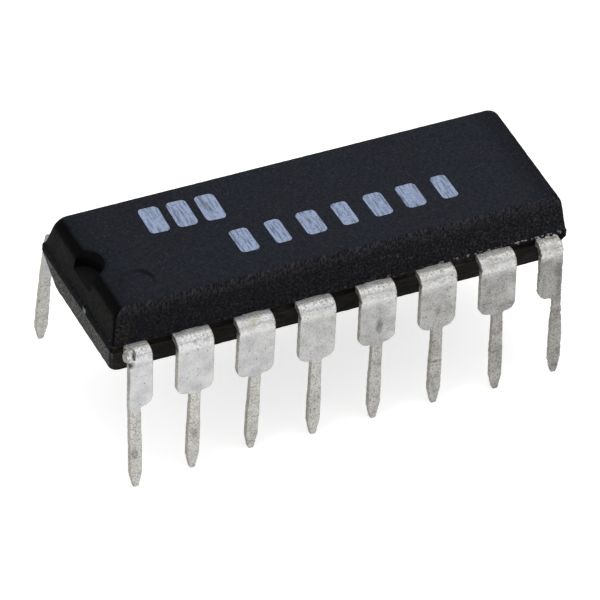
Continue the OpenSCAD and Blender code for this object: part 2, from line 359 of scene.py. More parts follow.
def between(tree, value, low, high, soft):
    """1 where a value lies between two limits, with soft ends, and 0 elsewhere."""
    rise = remap(tree, value, low - soft, low + soft)
    return multiply(tree, rise, remap(tree, value, high + soft, high - soft))


def spot(tree, place, centre, size):
    """1 at a place, falling to 0 at a distance given for each direction, in millimetres."""
    moved = vector_math(tree, "SUBTRACT", {0: place, 1: centre})
    shrunk = vector_math(tree, "DIVIDE", {0: moved, 1: size})
    return remap(tree, vector_math(tree, "LENGTH", {0: shrunk}, "Value"), 1.0, 0.35)


def seen_directly(tree):
    """1 for the rays that show the background: the camera's, and those that metal and glass send on."""
    path = add_node(tree, "ShaderNodeLightPath").outputs
    rays = (path["Is Camera Ray"], path["Is Glossy Ray"], path["Is Transmission Ray"])
    return calculate(tree, "MAXIMUM", *rays)


def new_material(name):
    """A material with its node tree and its shader node."""
    made = bpy.data.materials.new(name)
    made.use_nodes = True
    tree = made.node_tree
    return made, tree, tree.nodes["Principled BSDF"]


def dress(piece, material):
    """Gives a piece its one material."""
    piece.data.materials.clear()
    piece.data.materials.append(material)


# Middle and reach in millimetres of the warm patch beside lead 1
WARM_CORNER = ((-9.1, -3.1, 6.5), (0.6, 0.6, 0.9))


def moulding_fields(tree, settings):
    """What the moulding's colours go by: lengths in millimetres, and shares and noise from 0 to 1."""
    on = SimpleNamespace(place=millimetres(tree))
    on.x, on.y, on.z = split(tree, on.place)
    on.bottom, on.top, on.peak = settings.band_bottom / MM, settings.band_top / MM, BODY_HIGH.z / MM
    normal = surface_normal(tree)
    turn = calculate(tree, "SUBTRACT", unsigned(tree, normal[0]), unsigned(tree, normal[1]))
    on.end = remap(tree, turn, -0.02, 0.12)
    on.face = remap(tree, normal[2], 0.86, 0.98)
    on.flat_end = remap(tree, normal[2], 0.4, 0.2)
    on.below = remap(tree, on.z, on.bottom + 0.02, on.bottom - 0.02)
    on.band = between(tree, on.z, on.bottom, on.top, 0.015)
    on.rightwards = remap(tree, on.x, -9.0, 9.0)
    on.fine = cloud(tree, on.place, 9.0, 2.0, 0.6)
    on.grain = cloud(tree, on.place, 13.0, 2.0, 0.6)
    slanted = combine(tree, calculate(tree, "ADD", on.x, multiply(tree, on.z, -0.45)), on.y, on.z)
    on.strokes = cloud(tree, slanted, 1.0, 1.0, 0.5, (19.0, 6.0, 6.0))
    on.rim = remap(tree, on.z, on.peak - 0.52, on.peak - 0.2)
    on.rim = multiply(tree, on.rim, remap(tree, unsigned(tree, on.y), 1.5, 2.0))
    return on


def upper_side(tree, settings, on):
    """Colour of the upper half's long sides: grain with painted glints, strokes under the long top edges and
    a warm corner.
    """
    side = shade(tree, settings.side_colour, on.grain, 0.38, 0.64, 0.56, 1.74)
    side = shade(tree, side, on.rightwards, 0.5, 1.0, 1.0, 1.21)
    # Painted glints on the grain, more of them to the right
    sparkle = remap(tree, on.rightwards, 0.3, 1.0, 0.2, 1.0)
    sparkle = multiply(tree, remap(tree, on.grain, 0.59, 0.68), sparkle)
    strokes = multiply(tree, on.rim, remap(tree, on.strokes, 0.48, 0.6))
    warm = remap(tree, on.fine, 0.48, 0.62, 0.0, 0.65)
    warm = multiply(tree, spot(tree, on.place, *WARM_CORNER), warm)
    return paint(
        tree,
        side,
        (sparkle, settings.dust_and_glint_colour),
        (strokes, settings.rim_colour),
        (warm, settings.warm_colour),
    )


def lower_side(tree, settings, on):
    """Colour of the lower half's long sides: darkened with painted shade under the leads, with streaks along
    them and lighter and darker stretches.
    """
    streaks = cloud(tree, on.place, 1.0, 3.0, 0.6, (1.8, 9.0, 9.0))
    side = shade(tree, settings.lower_colour, streaks, 0.35, 0.65, 0.3, 2.5)
    side = shade(tree, side, cloud(tree, on.place, 0.5, 1.0), 0.4, 0.6, 0.75, 1.5)
    lighter = remap(tree, on.x, 2.2, 3.6, 1.0, 1.7)
    return scaled(tree, side, multiply(tree, lighter, remap(tree, on.x, 6.2, 7.0, 1.0, 0.42)))


def upper_end(tree, settings, on):
    """Colour of the upper half's ends, with painted shade on the round under the top face."""
    wall = shade(tree, settings.end_colour, on.fine, 0.35, 0.65, 0.55, 1.5)
    return blend_colour(tree, on.flat_end, settings.round_shade_colour, wall)


def lower_end(tree, settings, on):
    """Colour of the lower half's ends: coarse grain, painted pale with light thrown up from the floor."""
    grain = cloud(tree, on.place, 11.0, 3.0, 0.7)
    wall = shade(tree, settings.lower_end_lit_colour, grain, 0.4, 0.6, 0.0, 1.85)
    return shade(tree, wall, cloud(tree, on.place, 4.0, 1.0), 0.4, 0.6, 0.75, 1.15)


# Two distances from the band in millimetres, at which the walls are measured for their slope
WALL_NEAR, WALL_FAR = 0.2, 0.8


def corner_shade_strip(tree, on):
    """1 in a narrow strip on the end walls beside the upright corners, where painted shade goes."""
    band = wall_sizes("moulded_body", (on.bottom + on.top) / 2 * MM)[1] / MM
    inset = calculate(tree, "SUBTRACT", unsigned(tree, on.y), band)
    for edge, way in ((on.top, 1), (on.bottom, -1)):
        heights = ((edge + way * off) * MM for off in (WALL_NEAR, WALL_FAR))
        near, far = (wall_sizes("moulded_body", height)[1] / MM for height in heights)
        slope = (near - far) / (WALL_FAR - WALL_NEAR)
        past = multiply(tree, calculate(tree, "SUBTRACT", on.z, edge), way)
        past = calculate(tree, "MAXIMUM", past, 0.0)
        inset = calculate(tree, "ADD", inset, multiply(tree, past, slope))
    return between(tree, inset, -0.25, -0.1, 0.04)


def top_face(tree, settings, on):
    """Colour of the top face: a painted bluish sheen in broad patches, painted shade towards the ends, dust
    and a painted shadow round the dimple.
    """
    # Painted bluish sheen, bluer in broad patches
    broad = remap(tree, cloud(tree, on.place, 0.4, 2.0), 0.35, 0.65)
    face = blend_colour(tree, broad, settings.top_colour, settings.blue_colour)
    face = shade(tree, face, on.fine, 0.35, 0.65, 0.76, 1.24)
    face = shade(tree, face, on.x, -9.0, 4.0, 0.93, 1.09)
    # Painted shade where the top face turns down towards the ends, strongest at the right end
    face = shade(tree, face, unsigned(tree, on.x), 7.9, 9.0, 1.0, remap(tree, on.x, -1.0, 1.0, 0.74, 0.6))
    dust = multiply(tree, remap(tree, cloud(tree, on.place, 12.0, 1.0), 0.64, 0.74), 0.45)
    face = blend_colour(tree, dust, face, settings.dust_and_glint_colour)
    # Painted shadow in the dimple: a dark ring inside its rim, darkest on one side
    x, y = (c / MM for c in settings.dimple_place)
    away = vector_math(tree, "DISTANCE", {0: on.place, 1: (x, y, on.peak)}, "Value")
    darkest = spot(tree, on.place, (x + 0.42, y + 0.36, on.peak), (0.5, 0.5, 0.5))
    darkness = calculate(tree, "ADD", multiply(tree, darkest, 0.47), 0.09)
    ring = multiply(tree, between(tree, away, 0.56, 0.7, 0.06), darkness)
    return scaled(tree, face, calculate(tree, "SUBTRACT", 1.0, ring))


def notch_shade_layers(tree, settings, on):
    """Shares and colours of the painted shade in the notch's hollow and in a dark rim round it."""
    reach, x = settings.notch_radius / MM, settings.notch_x / MM
    # Painted shade over the notch's hollow, with a lighter floor
    hollow_shade = spot(tree, on.place, (x, 0, on.peak - 0.6), (1.5 * reach, 1.5 * reach, 1.2))
    hollow_shade = multiply(tree, remap(tree, hollow_shade, 0.3, 0.5), remap(tree, on.z, on.peak - 0.01, on.peak - 0.14))
    floor = remap(tree, on.z, on.peak - 0.7, on.peak - 0.82)
    notch_shade_colour = blend_colour(tree, floor, settings.notch_shade_colour, settings.notch_floor_shade_colour)
    # Painted shade in a dark rim on the top face round the notch
    away = vector_math(tree, "DISTANCE", {0: combine(tree, on.x, on.y), 1: (x, 0, 0)}, "Value")
    rim = remap(tree, away, reach + 0.2, reach + 0.02)
    rim = multiply(tree, rim, remap(tree, on.z, on.peak - 0.3, on.peak - 0.2, 0.0, 0.6))
    return (hollow_shade, notch_shade_colour), (rim, settings.notch_shade_colour)


def flash_share(tree, on):
    """1 where pale flash shows at the parting line: in short pieces, more of them to the right."""
    line = between(tree, on.z, on.top - 0.01, on.top + 0.07, 0.015)
    pieces = remap(tree, cloud(tree, on.place, 6.0), 0.54, 0.6)
    return multiply(
        tree, line, pieces, remap(tree, on.x, 0.0, 7.0, 0.1, 1.0), remap(tree, on.fine, 0.46, 0.54)
    )


def moulding_material(settings):
    """Black epoxy: blue-grey top with a painted sheen, grained sides with painted glints, grain on the lower
    ends painted pale with floor light, and painted shade on the black band at the ends, the end rounds, the
    corners, the lower sides and the notch.
    """
    made, tree, shader = new_material("moulding_compound")
    on = moulding_fields(tree, settings)
    low = lower_side(tree, settings, on)
    upper = blend_colour(tree, on.end, upper_side(tree, settings, on), upper_end(tree, settings, on))
    lower = blend_colour(tree, on.end, low, lower_end(tree, settings, on))
    # The band takes the lower sides' colour on the long sides, and painted shade at the ends
    band = blend_colour(tree, on.end, scaled(tree, low, 0.9), settings.band_shade_colour)
    colour = paint(
        tree,
        upper,
        (on.below, lower),
        (on.band, band),
        # Painted shade in a strip on the end walls beside the upright corners
        (multiply(tree, corner_shade_strip(tree, on), on.end, 0.9), settings.round_shade_colour),
        (on.face, top_face(tree, settings, on)),
        # Painted shade in the notch and in a rim round it
        *notch_shade_layers(tree, settings, on),
        (flash_share(tree, on), settings.flash_colour),
    )
    rough = remap(tree, cloud(tree, on.place, 2.0, 3.0), 0.3, 0.7, 0.55, 0.68)
    rough = calculate(tree, "SUBTRACT", rough, multiply(tree, on.face, 0.1))
    height = multiply(tree, on.fine, remap(tree, on.face, 0.0, 1.0, 1.0, 0.25))
    height = calculate(tree, "ADD", height, multiply(tree, on.strokes, on.rim))
    height = multiply(tree, height, remap(tree, on.band, 0.0, 1.0, 1.0, 0.3))
    normal = bump(tree, height, 0.03 * MM)
    inputs = {"Base Color": colour, "Roughness": rough, "Specular IOR Level": 0.015, "Normal": normal}
    set_inputs(tree, shader, inputs)
    return made


# Heights on a lead in millimetres, between which pin, plate, bend and arm give way to each other
PIN_TOP, SHOULDER_LOW = 3.3, 3.6
PLATE_TOP, BEND_LOW, ARM_LOW, BEND_TOP = 5.3, 5.6, 5.8, 5.92
# Heights of the painted shade lines along the bend's two creases and of the nicks round the bend, and how far
# out on a lead the nicks set in and are whole
CREASE, FOLD, NICK = (5.83, 5.87), (5.42, 5.47), (5.6, 5.74)
NICK_OUT = (0.69, 0.73)
# Yellowish stain on lead 1: middle and reach in millimetres
LEAD_1_STAIN = ((-9.08, -3.55, 6.1), (0.25, 0.2, 0.16))
# Dark smudges on the leads: middle and reach in millimetres, and strength
SMUDGES = (
    ((-8.97, -3.84, 5.98), (0.09, 0.2, 0.2), 1.3),
    ((-8.9, -3.86, 5.8), (0.09, 0.2, 0.12), 1.3),
    ((-9.1, -3.88, 5.57), (0.26, 0.3, 0.2), 1.2),
    ((-9.15, -3.95, 4.9), (0.12, 0.3, 1.0), 0.6),
    ((-9.22, -3.66, 6.08), (0.06, 0.1, 0.06), 0.8),
    ((1.34, -3.95, 4.4), (0.2, 0.6, 0.46), 0.75),
    ((3.82, -3.95, 4.35), (0.2, 0.6, 0.3), 0.5),
    ((6.6, -3.95, 3.9), (0.4, 0.6, 0.16), 0.35),
    ((-6.3, -4.2, 1.5), (0.2, 0.6, 0.5), 0.25),
    ((-8.9, -4.4, 1.6), (0.2, 0.6, 0.4), 0.5),
    ((3.8, -4.1, 2.0), (0.3, 0.6, 0.08), 0.6),
    ((6.3, -4.2, 1.8), (0.3, 0.6, 0.07), 0.6),
    ((8.95, -3.9, 4.9), (0.35, 0.6, 0.4), 0.4),
    ((8.95, -3.9, 4.1), (0.12, 0.6, 0.7), 0.5),
)


def solder_fields(tree):
    """What the solder's colours go by: lengths in millimetres, and shares and noise from 0 to 1."""
    on = SimpleNamespace(place=millimetres(tree))
    on.x, on.y, on.z = split(tree, on.place)
    on.normal = surface_normal(tree)
    on.rightwards = remap(tree, on.x, -8.0, 9.0)
    on.leftmost = remap(tree, on.rightwards, 0.5, 0.0)
    flat = remap(tree, unsigned(tree, on.normal[1]), 0.75, 0.95)
    on.plate = multiply(tree, remap(tree, on.z, BEND_LOW, PLATE_TOP), flat)
    on.pin = remap(tree, on.z, SHOULDER_LOW, PIN_TOP)
    on.arm = remap(tree, on.z, BEND_LOW, ARM_LOW)
    rough_right = multiply(tree, on.rightwards, 0.8)
    on.rough_skin = calculate(tree, "MAXIMUM", on.pin, rough_right, multiply(tree, on.arm, 0.6))
    on.mottle = cloud(tree, on.place, 1.8, 4.0, 0.62)
    on.fine = cloud(tree, on.place, 10.0, 3.0, 0.65)
    on.pepper = cloud(tree, on.place, 13.0, 2.0, 0.6)
    return on


def darkening_and_painted_light(tree, settings, on):
    """How much darker than plain solder each place is: darker to the right, with painted shade where the dark
    wall is reflected in the arms, and a painted highlight that makes the leftmost bends lighter.
    """
    plate = remap(tree, on.rightwards, 0.0, 1.0, settings.left_darkening, settings.right_darkening)
    # Painted reflection of the dark wall: shade on the up-facing arms beside it, strongest on the left leads
    painted_wall_reflection = multiply(
        tree,
        remap(tree, unsigned(tree, on.y), 3.5, 3.25),
        remap(tree, on.normal[2], 0.5, 0.8),
        remap(tree, on.rightwards, 0.4, 0.9, 1.0, 0.2),
        remap(tree, on.mottle, 0.3, 0.7, 0.15, 0.48),
    )
    return calculate(
        tree,
        "ADD",
        multiply(tree, on.plate, plate),
        # Painted highlight that makes the leftmost bends lighter
        multiply(tree, between(tree, on.z, BEND_LOW, BEND_TOP, 0.08), on.leftmost, -0.28),
        multiply(tree, on.pin, on.leftmost, settings.pin_darkening),
        remap(tree, on.mottle, 0.42, 0.72, 0.0, 0.18),
        painted_wall_reflection,
    )


def solder_material(settings):
    """Dipped solder: pale and satin, mottled and pitted, darker to the right, brownish on sheared edges, with
    a painted sheen on the plates, painted highlights on the leftmost bends, and painted shade along the
    bend's creases and where the dark wall is reflected in the arms.
    """
    made, tree, shader = new_material("dipped_solder")
    on = solder_fields(tree)
    colour = blend_colour(tree, on.rightwards, settings.solder_colour, settings.right_colour)
    colour = blend_colour(tree, on.pin, colour, settings.pin_colour)
    most = remap(tree, on.rough_skin, 0.0, 1.0, 1.08, 1.42)
    gain = remap(tree, on.pepper, 0.35, 0.65, calculate(tree, "SUBTRACT", 2.0, most), most)
    light = calculate(tree, "SUBTRACT", 1.07, darkening_and_painted_light(tree, settings, on))
    colour = scaled(tree, colour, multiply(tree, light, gain))

    warm = remap(tree, cloud(tree, on.place, 2.6, 2.0), 0.52, 0.64)
    warm = multiply(tree, warm, remap(tree, on.arm, 0.0, 1.0, 0.12, 0.5))
    turns = calculate(tree, "FRACT", calculate(tree, "DIVIDE", on.x, settings.pitch / MM))
    across = multiply(tree, calculate(tree, "SUBTRACT", turns, 0.5), settings.pitch / MM)
    # Painted sheen on the right side of each plate, stronger on the left leads
    painted_sheen = multiply(
        tree,
        remap(tree, across, 0.15, 0.6),
        remap(tree, cloud(tree, on.place, 1.1, 1.0), 0.42, 0.58),
        on.plate,
        remap(tree, on.rightwards, 0.2, 1.0, 0.4, 0.18),
    )
    pits = multiply(tree, remap(tree, on.fine, 0.57, 0.68), remap(tree, on.arm, 0.0, 1.0, 0.3, 0.6))
    peppered = multiply(
        tree, remap(tree, on.pepper, 0.6, 0.68), remap(tree, on.rough_skin, 0.0, 1.0, 0.3, 0.9)
    )
    pits = calculate(tree, "MAXIMUM", pits, peppered)
    pocks = multiply(tree, remap(tree, cells(tree, on.place, 4.0), 0.15, 0.06), 0.6)
    level = calculate(tree, "ADD", on.z, remap(tree, on.mottle, 0.3, 0.7, -0.05, 0.05))
    # Painted shade: a bluish dark line along the bend's upper crease, and a fainter one along its lower fold
    crease_shade = remap(tree, on.fine, 0.35, 0.5, 0.15, 0.6)
    crease_shade = multiply(tree, between(tree, level, *CREASE, 0.02), crease_shade)
    fold_shade = remap(tree, on.fine, 0.4, 0.6, 0.0, 0.4)
    fold_shade = multiply(tree, between(tree, level, *FOLD, 0.03), fold_shade)
    sheared = multiply(tree, remap(tree, unsigned(tree, on.normal[0]), 0.3, 0.6), 0.85)
    edge = shade(tree, settings.sheared_colour, on.fine, 0.35, 0.65, 0.55, 1.45)
    edge = shade(tree, edge, on.z, PLATE_TOP, BEND_LOW, 1.0, 0.6)
    nick = multiply(
        tree,
        remap(tree, unsigned(tree, across), *NICK_OUT),
        between(tree, level, *NICK, 0.05),
        remap(tree, on.fine, 0.38, 0.5, 0.0, 0.85),
    )
    colour = paint(
        tree,
        colour,
        (warm, settings.warm_colour),
        (painted_sheen, settings.painted_sheen_colour),
        (pits, settings.stain_and_shade_colour),
        (pocks, settings.pit_colour),
        (crease_shade, settings.crease_shade_colour),
        (fold_shade, settings.stain_and_shade_colour),
        (sheared, edge),
        (spot(tree, on.place, *LEAD_1_STAIN), settings.warm_colour),
        (nick, settings.pit_colour),
    )
    for centre, size, strength in SMUDGES:
        mark = spot(tree, on.place, centre, size)
        mark = multiply(tree, mark, remap(tree, on.fine, 0.3, 0.6, 0.5 * strength, strength))
        colour = blend_colour(tree, mark, colour, settings.pit_colour)
    rough = remap(tree, on.mottle, 0.3, 0.7, 0.42, 0.6)
    normal = bump(tree, calculate(tree, "SUBTRACT", on.fine, calculate(tree, "ADD", pits, pocks)), 0.022 * MM)
    inputs = {"Base Color": colour, "Metallic": 0.85, "Roughness": rough, "Normal": normal}
    set_inputs(tree, shader, inputs)
    return made


def ink_material(settings):
    """Pale ink with streaks of the squeegee, thin and worn in places."""
    made, tree, shader = new_material("printed_ink")
    place = millimetres(tree)
    streaks = remap(tree, cloud(tree, place, 1.0, 3.0, 0.6, (13.0, 1.6, 1.0)), 0.48, 0.64, 0.0, 0.7)
    spots = remap(tree, cloud(tree, place, 14.0, 2.0, 0.6), 0.56, 0.68, 0.0, 0.7)
    share = calculate(tree, "MAXIMUM", streaks, spots)
    colour = blend_colour(tree, share, settings.ink_colour, settings.worn_colour)
    normal = bump(tree, share, 0.006 * MM)
    inputs = {"Base Color": colour, "Roughness": 0.6, "Specular IOR Level": 0.2, "Normal": normal}
    set_inputs(tree, shader, inputs)
    return made


# Middle and reach in millimetres of a tie's cut end, and how far out the tie's own colour gives way
TIE_END = ((9.55, 0.84, 5.9), (0.2, 0.14, 0.14))
TIE_OUT = (9.4, 9.5)


def inner_material(name, colour, metallic, roughness, scale, outside=None):
    """Finish of a sealed part, with faint streaks. Outside gives a tie's skin and cut end, which show."""
    made, tree, shader = new_material(name)
    place = millimetres(tree)
    streaks = cloud(tree, place, scale, 3.0, 0.6, (0.3, 1.0, 1.0))
    dark = tuple(0.62 * c for c in colour)
    finish = blend_colour(tree, remap(tree, streaks, 0.35, 0.75, 0.0, 0.8), colour, dark)
    if outside is not None:
        x, y, z = split(tree, place)
        out = unsigned(tree, x)
        cut_end = spot(tree, combine(tree, out, unsigned(tree, y), z), *TIE_END)
        skin_colour, cut_colour = outside
        finish = paint(tree, finish, (remap(tree, out, *TIE_OUT), skin_colour), (cut_end, cut_colour))
    rough = remap(tree, streaks, 0.3, 0.7, roughness, roughness + 0.15)
    normal = bump(tree, streaks, 0.004 * MM)
    inputs = {"Base Color": finish, "Metallic": metallic, "Roughness": rough, "Normal": normal}
    set_inputs(tree, shader, inputs)
    return made


# Shapes


def show(piece):
    """Puts a new piece in the scene."""
    bpy.context.scene.collection.objects.link(piece)
    return piece


def mesh_from(name, points, faces):
    """A mesh made of points and faces."""
    mesh = bpy.data.meshes.new(name)
    mesh.from_pydata(points, [], faces)
    mesh.validate()
    mesh.update()
    return mesh


def piece_from(name, bm):
    """A new piece in the scene made of a bmesh, which is used up."""
    mesh = bpy.data.meshes.new(name)
    bm.to_mesh(mesh)
    bm.free()
    return show(bpy.data.objects.new(name, mesh))


def apply_modifiers(piece):
    """Replaces a piece's mesh by the one that its modifiers make."""
    graph = bpy.context.evaluated_depsgraph_get()
    mesh = bpy.data.meshes.new_from_object(piece.evaluated_get(graph))
    piece.modifiers.clear()
    piece.data = mesh


def vertex_arrays(mesh):
    """Places and normals of a mesh's vertices."""
    places = np.empty(len(mesh.vertices) * 3)
    normals = np.empty(len(mesh.vertices) * 3)
    mesh.vertices.foreach_get("co", places)
    mesh.vertices.foreach_get("normal", normals)
    return places.reshape(-1, 3), normals.reshape(-1, 3)


def set_places(mesh, places):
    """Moves a mesh's vertices."""
    mesh.vertices.foreach_set("co", places.ravel())
    mesh.update()


def rough_field(places, size, seed):
    """Noise from about 0 to 1 at each place, with features of a size in metres."""
    shift = Vector((seed * 7.3, seed * 3.1, seed * 5.7))
    return 0.5 + 0.5 * np.array([noise.noise(Vector(p) / size + shift) for p in places])


def wall_sizes(node, height):
    """Half length, half width and middle of a CAD solid at a height, measured on its mesh."""
    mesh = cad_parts[node].data
    points = vertex_arrays(mesh)[0]
    ends = np.empty(len(mesh.edges) * 2, int)
    mesh.edges.foreach_get("vertices", ends)
    low, high = points[ends[::2]], points[ends[1::2]]
    cut = (low[:, 2] - height) * (high[:, 2] - height) < 0
    low, high = low[cut], high[cut]
    share = (height - low[:, 2]) / (high[:, 2] - low[:, 2])
    at = low + (high - low) * share[:, None]
    return (at[:, 0].max() - at[:, 0].min()) / 2, at[:, 1].max(), (at[:, 0].max() + at[:, 0].min()) / 2


def rounded_wall(depth, total, half, slope, radius):
    """Half size of a drafted wall at a depth from the parting line, with the round at its far edge."""
    lean = math.hypot(1, slope)
    start = total - radius
    if depth <= start + radius * slope / lean:
        return half - depth * slope
    centre = half - start * slope - radius * lean
    return centre + math.sqrt(max(0.0, radius**2 - (depth - start) ** 2))


ROUND_STEPS = 12
CORNER_GROWTH = 0.6  # how much wider the upright corners' radius is at the faces, as a share


def half_levels(settings, parting, face, end_radius):
    """Levels of one half of the moulding: height, half length, half width, corner radius and middle."""
    side = math.copysign(1, face - parting)
    total = abs(face - parting)
    # Two heights on the plain part of the walls, to measure their slopes
    near, far = 0.1 * total, 0.55 * total
    near_a, near_b, middle = wall_sizes("moulded_body", parting + side * near)
    far_a, far_b, _ = wall_sizes("moulded_body", parting + side * far)
    slopes = [(near_a - far_a) / (far - near), (near_b - far_b) / (far - near)]
    halves = [near_a + near * slopes[0], near_b + near * slopes[1]]
    total -= settings.skin
    count = max(3, round((total - end_radius) / settings.cell))
    straight = np.linspace(0, total - end_radius, count)
    turn = np.linspace(0, math.pi / 2, ROUND_STEPS + 1)[1:]
    depths = [*straight, *(total - end_radius * (1 - np.sin(turn)))]
    levels = []
    for depth in depths:
        a = rounded_wall(depth, total, halves[0] - settings.skin, slopes[0], end_radius)
        b = rounded_wall(depth, total, halves[1] - settings.skin, slopes[1], settings.edge_radius)
        corner = settings.corner_radius * (1 + CORNER_GROWTH * depth / total)
        levels.append((parting + side * depth, a, b, corner, middle))
    return levels


def side_marks(half, corner, cell):
    """Lattice marks along one side, as a share of the straight and a share of the corner."""
    count = max(2, round(2 * (half - corner) / cell))
    steps = 4
    return (
        [(-1, -1 + i / steps) for i in range(steps)]
        + [(-1 + 2 * i / count, 0) for i in range(count + 1)]
        + [(1, (i + 1) / steps) for i in range(steps)]
    )


def lattice_points(marks, level):
    """Places of pairs of lattice marks at one level, with round corners."""
    height, half_x, half_y, corner, middle = level
    marks = np.array(marks, float)
    straight, round_off = marks[:, :, 0], marks[:, :, 1]
    reach = np.abs(round_off).max(axis=1)
    norm = np.maximum(np.hypot(round_off[:, 0], round_off[:, 1]), 1e-9)
    offset = round_off * (corner * reach / norm)[:, None]
    places = straight * np.array([half_x - corner, half_y - corner]) + offset + np.array([middle, 0])
    return np.column_stack([places, np.full(len(places), height)])


def lattice_shell(levels, along, across):
    """Points and faces of a closed shell: a grid on the first and last level, and rings between."""
    last_i, last_j = len(along) - 1, len(across) - 1
    rim = (
        [(i, 0) for i in range(last_i)]
        + [(last_i, j) for j in range(last_j)]
        + [(i, last_j) for i in range(last_i, 0, -1)]
        + [(0, j) for j in range(last_j, 0, -1)]
    )
    grid = [(i, j) for i in range(last_i + 1) for j in range(last_j + 1)]
    start_of_top = len(grid) + (len(levels) - 2) * len(rim)

    def layer(pairs, level):
        return lattice_points([(along[i], across[j]) for i, j in pairs], level)

    def index(k, n):
        """Number of the n-th point round level k."""
        i, j = rim[n % len(rim)]
        if k == 0:
            return i * (last_j + 1) + j
        if k == len(levels) - 1:
            return start_of_top + i * (last_j + 1) + j
        return len(grid) + (k - 1) * len(rim) + n % len(rim)

    points = [layer(grid, levels[0])]
    points += [layer(rim, level) for level in levels[1:-1]]
    points.append(layer(grid, levels[-1]))
    faces = [
        (index(k, n), index(k, n + 1), index(k + 1, n + 1), index(k + 1, n))
        for k in range(len(levels) - 1)
        for n in range(len(rim))
    ]
    for i in range(last_i):
        for j in range(last_j):
            a = i * (last_j + 1) + j
            b = a + last_j + 1
            faces.append((a, a + 1, b + 1, b))
            faces.append(tuple(start_of_top + v for v in (a, b, b + 1, a + 1)))
    return np.vstack(points), faces


def join_rings(bm, low, high):
    """Adds the faces between two rings of vertices."""
    for s in range(len(low)):
        t = (s + 1) % len(low)
        bm.faces.new((low[s], low[t], high[t], high[s]))


def turned_solid(bm, centre, radius, steps, segments=72):
    """Adds a closed turned solid. Each step gives millimetres added to the radius, and a height."""
    rings = []
    for out, height in steps:
        reach = radius + out * MM
        ring = []
        for s in range(segments):
            angle = 2 * math.pi * s / segments
            point = (centre[0] + reach * math.cos(angle), centre[1] + reach * math.sin(angle), height)
            ring.append(bm.verts.new(point))
        rings.append(ring)
    for low, high in zip(rings, rings[1:]):
        join_rings(bm, low, high)
    bm.faces.new(reversed(rings[0]))
    bm.faces.new(rings[-1])


def recess_cutter(settings):
    """One mesh of everything that is cut out of the moulding: notch, dimple and two ejector marks."""
    bm = bmesh.new()
    top, bottom = BODY_HIGH.z - settings.skin, BODY_LOW.z + settings.skin
    floor = BODY_HIGH.z - settings.notch_depth
    deep = settings.mark_depth
    notch = (
        (-0.06, floor),
        (-0.025, floor + 0.03 * MM),
        (0.0, top - 0.05 * MM),
        (0.03, top),
        (0.1, top + 0.06 * MM),
    )
    turned_solid(bm, (settings.notch_x, 0), settings.notch_radius, notch)
    dimple = ((-0.2, top - deep), (-0.08, top - 0.75 * deep), (0.0, top), (0.06, top + 0.05 * MM))
    turned_solid(bm, settings.dimple_place, settings.dimple_radius, dimple)
    ejector = ((0.03, bottom - 0.05 * MM), (0.0, bottom), (-0.04, bottom + deep))
    for side in (-1, 1):
        centre = (side * settings.ejector_pitch / 2, 0)
        turned_solid(bm, centre, settings.ejector_radius, ejector)
    return piece_from("recess_cutter", bm)


# Feature sizes in metres of the mould's grain, the coarser one's share of the depth, and the band's
FINE_GRAIN, BROAD_GRAIN = 0.2 * MM, 1.6 * MM
BROAD_SHARE, BAND_SHARE = 0.3, 0.35


def grained(settings, mesh):
    """Presses the mould's grain into the surface: finer on the top face, and shallower on the band."""
    places, normals = vertex_arrays(mesh)
    upwards = np.clip((normals[:, 2] - 0.75) / 0.2, 0, 1)
    edge = 0.01 * MM
    on_band = (places[:, 2] > settings.band_bottom - edge) & (places[:, 2] < settings.band_top + edge)
    fine = rough_field(places, FINE_GRAIN, 1)
    broad = rough_field(places, BROAD_GRAIN, 2)
    depth = (1 - upwards) * settings.grain_depth + upwards * settings.top_grain_depth
    depth[on_band] *= BAND_SHARE
    waves = BROAD_SHARE * settings.grain_depth * broad * (1 - upwards)
    places -= normals * (depth * fine + waves)[:, None]
    set_places(mesh, places)


SHARP_ANGLE = math.radians(38)


def make_moulding(settings):
    """The moulded body as one fine shell with its recesses."""
    levels = half_levels(settings, settings.band_bottom, BODY_LOW.z, settings.edge_radius)[::-1]
    a, b, middle = wall_sizes("moulded_body", (settings.band_bottom + settings.band_top) / 2)
    a, b = a - settings.skin, b - settings.skin
    # The band, which ends in a ledge under the upper half
    rise = settings.band_top - settings.ledge_drop - settings.band_bottom
    for share in (0.3, 0.65, 1.0):
        levels.append((settings.band_bottom + share * rise, a, b, settings.corner_radius, middle))
    upper = half_levels(settings, settings.band_top, BODY_HIGH.z, settings.end_edge_radius)
    ledge = [(u + v) / 2 for u, v in zip(levels[-1], upper[0])]
    levels += [ledge, *upper]
    points, faces = lattice_shell(
        levels,
        side_marks(a, settings.corner_radius, settings.cell),
        side_marks(b, settings.corner_radius, settings.cell),
    )
    piece = show(bpy.data.objects.new("moulding", mesh_from("moulding", points.tolist(), faces)))
    grained(settings, piece.data)
    cutter = recess_cutter(settings)
    cut = piece.modifiers.new("recesses", "BOOLEAN")
    cut.object, cut.operation, cut.solver = cutter, "DIFFERENCE", "EXACT"
    apply_modifiers(piece)
    bpy.data.objects.remove(cutter)
    piece.data.shade_smooth()
    piece.data.set_sharp_from_angle(angle=SHARP_ANGLE)
    return piece


# In millimetres: where an arm is clear of the wall, the solder that runs up to the wall, and the blob
ARM_OUT, ARM_UP = 3.24, 5.6
RUN_INSET, RUN_DEPTH, RUN_HEIGHT, RUN_SHIFT = 0.02, 0.12, 0.1, 0.045
BLOB_PLACE, BLOB_STRETCH = (-9.05, -3.62, 5.84), (0.95, 0.95, 1.2)
# Sizes in metres of the solder's unevenness, where its coat sets in, and the two leads that differ
UNEVEN_SIZE, FINE_SIZE = 0.35 * MM, 0.12 * MM
COAT_START, COAT_RISE = 3.0 * MM, 0.4 * MM
BLOB_LEAD, BLOB_ROUGHNESS, BLOB_END = 1, 5, -8.9 * MM
RAGGED_LEAD, RAGGEDNESS = 8, 2


